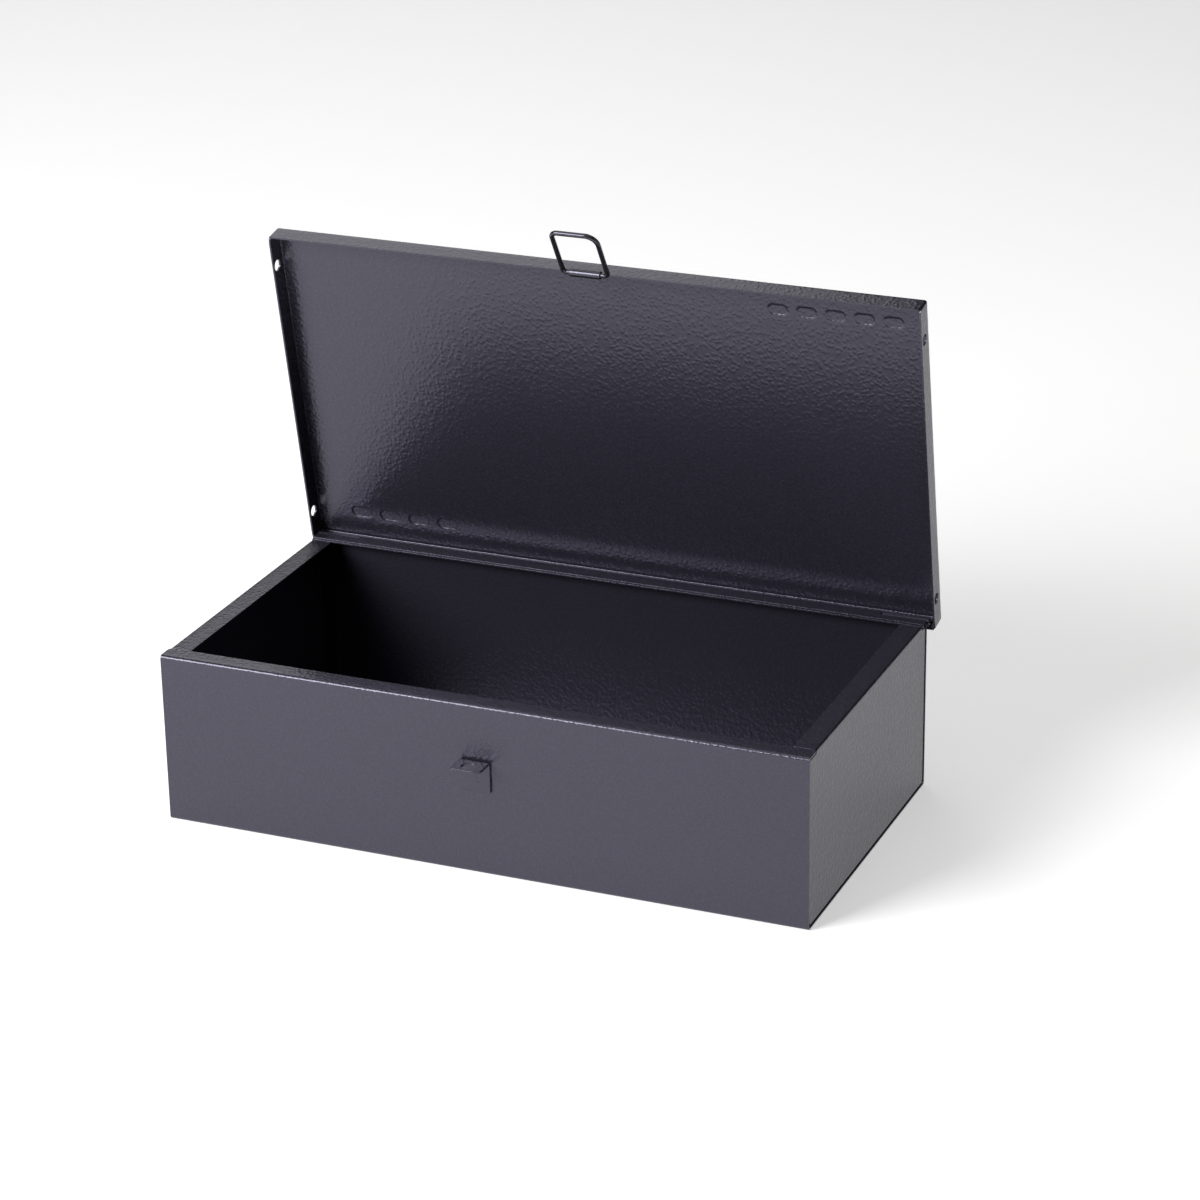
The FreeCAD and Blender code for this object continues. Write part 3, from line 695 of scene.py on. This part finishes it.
class STEELBOX_OT_lid(bpy.types.Operator):
    """Tray lid: a plate with pressed bars, rounded folds and four flanges with their holes"""
    bl_idname = "steelbox.lid"
    bl_label = "Tray Lid"

    def execute(self, context):
        body = context.scene.steel_box_body
        hinge = context.scene.steel_box_hinge
        sizes = context.scene.steel_box_lid
        half = body.sheet / 2
        radius = sizes.fold + half
        knuckle_out = hinge.pin_radius + hinge.clearance + hinge.leaf
        top = AXIS_Z + sizes.above_axis
        edge = top - sizes.flange
        front, back = -HALF_D - sizes.front_gap - body.sheet, AXIS_Y + knuckle_out + body.sheet
        low_y, high_y = front + half + radius, back - half - radius
        half_x = LID_HALF - half - radius
        bars = pressed_bars(front, back)
        holes = (front + sizes.front_hole, back - sizes.back_hole)
        block = sizes.hole_radius + sizes.hole_margin

        stops_x, stops_y = [-hinge.end_start, hinge.end_start], []
        dense_x, dense_y = [], []
        for rows in (bars[:5], bars[5:]):
            dense_x.append((rows[0][0] - rows[0][2] / 2 - MM, rows[-1][0] + rows[-1][2] / 2 + MM))
            dense_y.append((rows[0][1] - rows[0][3] / 2 - MM, rows[0][1] + rows[0][3] / 2 + MM))
        for low, high in dense_x:
            stops_x += list(spaced(low, high, sizes.grid))
        for low, high in dense_y:
            stops_y += list(spaced(low, high, sizes.grid))
        for y in holes:
            stops_y += list(spaced(y - block, y + block, 1.0 * MM))
        inside_blocks = [(y - block, y + block) for y in holes]
        xs = spaced(-half_x, half_x, SHEET_GRID, sorted(stops_x))
        stops_y = sorted(stops_y)
        kept_y = [value for index, value in enumerate(stops_y)
                  if index == 0 or value - stops_y[index - 1] > 0.05 * MM]
        ys = spaced(low_y, high_y, SHEET_GRID, kept_y)

        plate_x, plate_y = np.meshgrid(xs, ys)
        plate_z = np.full(plate_x.shape, top - half)
        plate_z += sizes.mark_height * bar_height(plate_x, plate_y, bars)
        share_x = (plate_x + half_x) / (2 * half_x)
        share_y = (plate_y - low_y) / (high_y - low_y)
        plate_z -= 1.6 * body.slack * dip(share_x, share_y) * (0.8 + 0.2 * ripple(plate_x, plate_y))
        plate = np.stack([plate_x, plate_y, plate_z], axis=-1)
        parts = [(open_lid(plate), cells(*plate_x.shape))]

        corner = np.linspace(0.0, math.pi / 2, 7)
        base, out = [], []
        for points, start in ((np.column_stack([xs, np.full(len(xs), low_y)]), -math.pi / 2),
                              (np.column_stack([np.full(len(ys), half_x), ys]), 0.0),
                              (np.column_stack([xs[::-1], np.full(len(xs), high_y)]), math.pi / 2),
                              (np.column_stack([np.full(len(ys), -half_x), ys[::-1]]), math.pi)):
            base.append(points)
            out.append(np.full(len(points), start))
            base.append(np.repeat(points[-1:], len(corner) - 2, axis=0))
            out.append(start + corner[1:-1])
        base, out = np.concatenate(base), np.concatenate(out)
        outward = np.column_stack([np.cos(out), np.sin(out)])

        fold = np.linspace(0.0, math.pi / 2, 8)
        fold_plan = base[None] + radius * np.sin(fold)[:, None, None] * outward[None]
        fold_level = top - half - radius + radius * np.cos(fold)
        fold_z = np.broadcast_to(fold_level[:, None], fold_plan.shape[:2])
        parts.append((open_lid(np.concatenate([fold_plan, fold_z[..., None]], axis=-1)),
                      cells(len(fold), len(base), closed=True)))

        wall = base + radius * outward
        side_wall = np.abs(wall[:, 0]) > LID_HALF - half - 0.6 * MM
        from_corner = np.minimum(wall[:, 1] - front, back - wall[:, 1])
        chamfer = np.clip(sizes.nick - 0.89 * from_corner, 0.0, None) * side_wall
        notch = (wall[:, 1] > back - body.sheet) & (np.abs(wall[:, 0]) < hinge.end_start + TINY)
        leaf_edge = AXIS_Z + knuckle_out + hinge.edge_gap
        lower = np.where(notch, leaf_edge, edge + chamfer)
        start_z = top - half - radius
        hole_z = edge + sizes.hole_up
        levels = np.concatenate([[start_z], spaced(hole_z - block, hole_z + block, 1.2 * MM)[::-1], [edge]])
        share = (start_z - levels) / (start_z - edge)
        wall_z = start_z + (lower - start_z)[None, :] * share[:, None]
        flange = np.stack([np.broadcast_to(wall[None, :, 0], wall_z.shape),
                           np.broadcast_to(wall[None, :, 1], wall_z.shape), wall_z], axis=-1)
        closed_y = np.concatenate([wall[:, 1], wall[:1, 1]])
        mid_y = between(closed_y)
        straight_side = np.abs(wall[:, 0]) > LID_HALF - half - TINY
        both = straight_side & np.roll(straight_side, -1)
        columns = np.zeros(len(wall), bool)
        for low, high in inside_blocks:
            columns |= both & (mid_y > low) & (mid_y < high)
        mid_level = between(levels)
        rows = (mid_level < hole_z + block) & (mid_level > hole_z - block)
        keep = ~(rows[:, None] & columns[None, :])
        parts.append((open_lid(flange), cells(len(levels), len(wall), keep=keep, closed=True)))

        block_z = levels[1:-1][::-1]
        for y in holes:
            block_y = ys[(ys > y - block - TINY) & (ys < y + block + TINY)]
            outline = np.concatenate([
                np.column_stack([block_y, np.full(len(block_y), block_z[0])])[:-1],
                np.column_stack([np.full(len(block_z), block_y[-1]), block_z])[:-1],
                np.column_stack([block_y[::-1], np.full(len(block_y), block_z[-1])])[:-1],
                np.column_stack([np.full(len(block_z), block_y[0]), block_z[::-1]])[:-1]])
            plan, quads = holed_patch(outline, np.array([y, hole_z]), sizes.hole_radius, 3)
            for direction in (-1, 1):
                points = np.concatenate([np.full(plan.shape[:2] + (1,), direction * (LID_HALF - half)),
                                         plan], axis=-1)
                parts.append((open_lid(points), quads))
        piece = add_piece("lid_pan_skin", parts, "lid", "lid_pan", paint("lid"))
        give_thickness(piece, body.sheet, body.edge_round)
        return {"FINISHED"}


# ---- bail and bracket ---------------------------------------------------------------------------
def closed_bail_axis():
    """(y, z) of the bail's pivot with the lid closed: its rest place turned back about the hinge."""
    y, z = JOINTS["bail_pivot"]["pos_m"][1] - AXIS_Y, JOINTS["bail_pivot"]["pos_m"][2] - AXIS_Z
    return (AXIS_Y + y * math.cos(LID_OPEN) - z * math.sin(LID_OPEN),
            AXIS_Z + y * math.sin(LID_OPEN) + z * math.cos(LID_OPEN))


class STEELBOX_OT_bail(bpy.types.Operator):
    """Wire bail and the rolled strap that it swings in"""
    bl_idname = "steelbox.bail"
    bl_label = "Bail and Strap"

    def execute(self, context):
        body = context.scene.steel_box_body
        lid = context.scene.steel_box_lid
        sizes = context.scene.steel_box_catch
        axis = closed_bail_axis()
        middle = sizes.wire + sizes.clearance + sizes.strap / 2
        top = AXIS_Z + lid.above_axis - body.sheet - lid.bend - 0.5 * MM
        run = straight((axis[0] + middle, top), (axis[0] + middle, axis[1]), 1.5 * MM)
        line = np.concatenate([run[:-1], arc(axis, middle, 0.0, math.radians(-300))])
        stations = spaced(STRAP_LOW.x, STRAP_HIGH.x, 1.5 * MM)
        points = open_lid(across(line, stations))
        piece = add_piece("bail_strap_skin", [(points, cells(*points.shape[:2]))],
                          "lid", "bail_strap", paint("bail"))
        give_thickness(piece, sizes.strap, body.edge_round)

        centre = (STRAP_LOW.x + STRAP_HIGH.x) / 2
        left, right = centre - sizes.width / 2, centre + sizes.width / 2
        high, low = axis[1], axis[1] - sizes.reach
        path = []
        for x, z, radius, begin in ((right, high, sizes.upper_corner, 0.0),
                                    (left, high, sizes.upper_corner, 0.5),
                                    (left, low, sizes.left_corner, 1.0),
                                    (right, low, sizes.right_corner, 1.5)):
            inward_x = -1 if x > centre else 1
            inward_z = -1 if z > (high + low) / 2 else 1
            path.append(arc((x + inward_x * radius, z + inward_z * radius), radius, begin * math.pi,
                            (begin + 0.5) * math.pi))
        corners = np.concatenate(path)
        runs = [straight(a, b, 2 * MM)[:-1] if np.hypot(*(b - a)) > MM else a[None]
                for a, b in zip(corners, np.roll(corners, -1, axis=0))]
        loop = np.concatenate(runs)
        ahead = np.roll(loop, -1, axis=0) - np.roll(loop, 1, axis=0)
        ahead /= np.linalg.norm(ahead, axis=1)[:, None]
        side = np.column_stack([ahead[:, 1], -ahead[:, 0]])
        turn = np.linspace(0, 2 * math.pi, sizes.wire_sides, endpoint=False)
        points = np.empty((len(loop), len(turn), 3))
        points[..., 0] = loop[:, None, 0] + sizes.wire * np.cos(turn) * side[:, None, 0]
        points[..., 2] = loop[:, None, 1] + sizes.wire * np.cos(turn) * side[:, None, 1]
        points[..., 1] = axis[0] + sizes.wire * np.sin(turn)
        y, z = points[..., 1] - axis[0], points[..., 2] - axis[1]
        points[..., 1] = axis[0] + y * math.cos(BAIL_LIFT) + z * math.sin(BAIL_LIFT)
        points[..., 2] = axis[1] - y * math.sin(BAIL_LIFT) + z * math.cos(BAIL_LIFT)
        points = open_lid(points)
        points = np.concatenate([points, points[:1]])
        add_piece("bail_loop", [(points, cells(len(points), len(turn), closed=True))],
                  "bail", "bail_wire", paint("bail"))
        return {"FINISHED"}


class STEELBOX_OT_bracket(bpy.types.Operator):
    """Angle bracket with its padlock hole, rounded ledge corners and weld dimple"""
    bl_idname = "steelbox.bracket"
    bl_label = "Padlock Bracket"

    def execute(self, context):
        body = context.scene.steel_box_body
        sizes = context.scene.steel_box_catch
        half = sizes.bracket / 2
        radius = sizes.bracket_bend + half
        face, level = BRACKET_HIGH.y - half, BRACKET_HIGH.z - half
        ledge_start = face - radius
        leg = folded([(face, BRACKET_LOW.z), (face, level), (ledge_start - MM, level)], radius,
                     BRACKET_GRID)
        leg = leg[leg[:, 0] > ledge_start - TINY]
        stations = spaced(BRACKET_LOW.x, BRACKET_HIGH.x, BRACKET_GRID)
        points = across(leg, stations)
        away = np.hypot(points[..., 0] - sizes.weld_x, points[..., 2] - sizes.weld_z)
        points[..., 1] += sizes.weld_depth * (1 - smooth_step(sizes.weld_flat, sizes.weld_reach, away))
        parts = [(points, cells(len(leg), len(stations)))]

        tip = BRACKET_LOW.y
        left, right = BRACKET_LOW.x, BRACKET_HIGH.x
        hole = np.array(LOCK_HOLE["pos_m"][:2])
        small, large = sizes.near_corner, sizes.far_corner
        near = arc((left + small, tip + small), small, math.pi, 1.5 * math.pi)
        far = arc((right - large, tip + large), large, 1.5 * math.pi, 2 * math.pi)
        outline = np.concatenate([
            np.column_stack([stations[::-1], np.full(len(stations), ledge_start)])[:-1],
            straight((left, ledge_start), near[0], LEDGE_GRID)[:-1], near[:-1],
            straight(near[-1], far[0], LEDGE_GRID)[:-1], far[:-1],
            straight(far[-1], (right, ledge_start), LEDGE_GRID)[:-1]])
        plan, quads = holed_patch(outline, hole, LOCK_HOLE["dims"]["r_mm"] * MM, 6)
        ledge = np.concatenate([plan, np.full(plan.shape[:2] + (1,), level)], axis=-1)
        parts.append((ledge, quads))
        piece = add_piece("catch_bracket_skin", parts, "box", "catch_bracket", paint("fittings"))
        give_thickness(piece, sizes.bracket, sizes.edge_round)
        return {"FINISHED"}


# ---- stage --------------------------------------------------------------------------------------
def area_light(name, place, aim, size, power, colour=(1.0, 1.0, 1.0)):
    """Square soft light at a place, turned to face the aim."""
    data = bpy.data.lights.new(name, "AREA")
    data.shape = "RECTANGLE"
    data.size = data.size_y = size
    data.energy = power
    data.color = colour
    lamp = bpy.data.objects.new(name, data)
    lamp.location = place
    lamp.rotation_euler = (Vector(aim) - Vector(place)).to_track_quat("-Z", "Y").to_euler()
    bpy.context.scene.collection.objects.link(lamp)
    return lamp


class STEELBOX_OT_stage(bpy.types.Operator):
    """Pale floor, soft studio light and the camera"""
    bl_idname = "steelbox.stage"
    bl_label = "Stage"

    def execute(self, context):
        scene = context.scene
        look = scene.steel_box_stage
        reach = look.reach
        mesh = bpy.data.meshes.new("studio_floor")
        mesh.from_pydata([(-reach, -reach, 0), (reach, -reach, 0), (reach, reach, 0), (-reach, reach, 0)],
                         [], [(0, 1, 2, 3)])
        floor = bpy.data.objects.new("studio_floor", mesh)
        scene.collection.objects.link(floor)
        material = bpy.data.materials.new("pale floor")
        material.use_nodes = True
        tree = material.node_tree
        shader = tree.nodes["Principled BSDF"]
        place = tree.nodes.new("ShaderNodeTexCoord").outputs["Object"]
        mottle = noise(tree, place, 3.0, 3.0).outputs["Fac"]
        link(tree, blend_colour(tree, mottle, tone(look.floor, 0.99), tone(look.floor, 1.01)),
             shader.inputs["Base Color"])
        shader.inputs["Emission Strength"].default_value = look.glow
        shader.inputs["Emission Color"].default_value = (1.0, 1.0, 1.0, 1.0)
        shader.inputs["Roughness"].default_value = 0.85
        shader.inputs["Specular IOR Level"].default_value = 0.1
        mesh.materials.append(material)

        world = bpy.data.worlds.new("soft studio")
        world.use_nodes = True
        sky = world.node_tree.nodes["Background"]
        sky.inputs["Color"].default_value = (1.0, 1.0, 1.0, 1.0)
        seen = world.node_tree.nodes.new("ShaderNodeLightPath").outputs["Is Camera Ray"]
        link(world.node_tree, remap(world.node_tree, seen, 0.0, 1.0, look.sky, look.glow),
             sky.inputs["Strength"])
        scene.world = world
        aim = (0.0, 0.0, 0.1)
        area_light("left front", (-1.5, -2.0, 1.5), aim, 1.6, 105.0)
        area_light("right", (2.3, 0.2, 1.1), aim, 1.4, 4.0, (1.0, 0.96, 0.92))
        area_light("top", (0.0, 0.0, 2.2), aim, 2.0, 13.0)
        area_light("left back", (-1.4, 2.0, 1.8), aim, 1.4, 8.0)

        data = bpy.data.cameras.new("camera")
        data.lens = look.lens
        data.sensor_width = 36.0
        data.clip_start = 0.05
        camera = bpy.data.objects.new("camera", data)
        camera.rotation_mode = "QUATERNION"
        turn = Euler((math.pi / 2 - look.elevation, 0.0, look.azimuth)).to_quaternion()
        camera.rotation_quaternion = turn @ Euler((0.0, 0.0, look.roll)).to_quaternion()
        camera.location = Vector(look.aim) + turn @ Vector((0.0, 0.0, look.distance))
        scene.collection.objects.link(camera)
        scene.camera = camera
        scene.view_settings.view_transform = "Standard"
        return {"FINISHED"}


# ---- add-on -------------------------------------------------------------------------------------
class STEELBOX_PT_panel(bpy.types.Panel):
    """Buttons for the box's pieces and the stage"""
    bl_idname = "STEELBOX_PT_panel"
    bl_label = "Steel Box"
    bl_space_type = "VIEW_3D"
    bl_region_type = "UI"
    bl_category = "Steel Box"

    def draw(self, context):
        for name in OPERATIONS:
            self.layout.operator("steelbox." + name)


SETTINGS = {"steel_box_body": BoxSizes, "steel_box_hinge": HingeSizes, "steel_box_lid": LidSizes,
            "steel_box_catch": CatchSizes, "steel_box_paint": PaintLook, "steel_box_stage": StageLook}
OPERATORS = (STEELBOX_OT_wrapper, STEELBOX_OT_end_panels, STEELBOX_OT_hinge, STEELBOX_OT_lid,
             STEELBOX_OT_bail, STEELBOX_OT_bracket, STEELBOX_OT_stage)
OPERATIONS = [operator.bl_idname.split(".")[1] for operator in OPERATORS]


def register():
    for group in SETTINGS.values():
        bpy.utils.register_class(group)
    for operator in OPERATORS + (STEELBOX_PT_panel,):
        bpy.utils.register_class(operator)
    for name, group in SETTINGS.items():
        setattr(bpy.types.Scene, name, PointerProperty(type=group))


def unregister():
    for name in SETTINGS:
        delattr(bpy.types.Scene, name)
    for operator in (STEELBOX_PT_panel,) + OPERATORS[::-1]:
        bpy.utils.unregister_class(operator)
    for group in SETTINGS.values():
        bpy.utils.unregister_class(group)


def main():
    register()
    for name in OPERATIONS:
        if getattr(bpy.ops.steelbox, name)() != {"FINISHED"}:
            raise RuntimeError(f"steelbox.{name} did not finish")


if __name__ == "__main__":
    main()
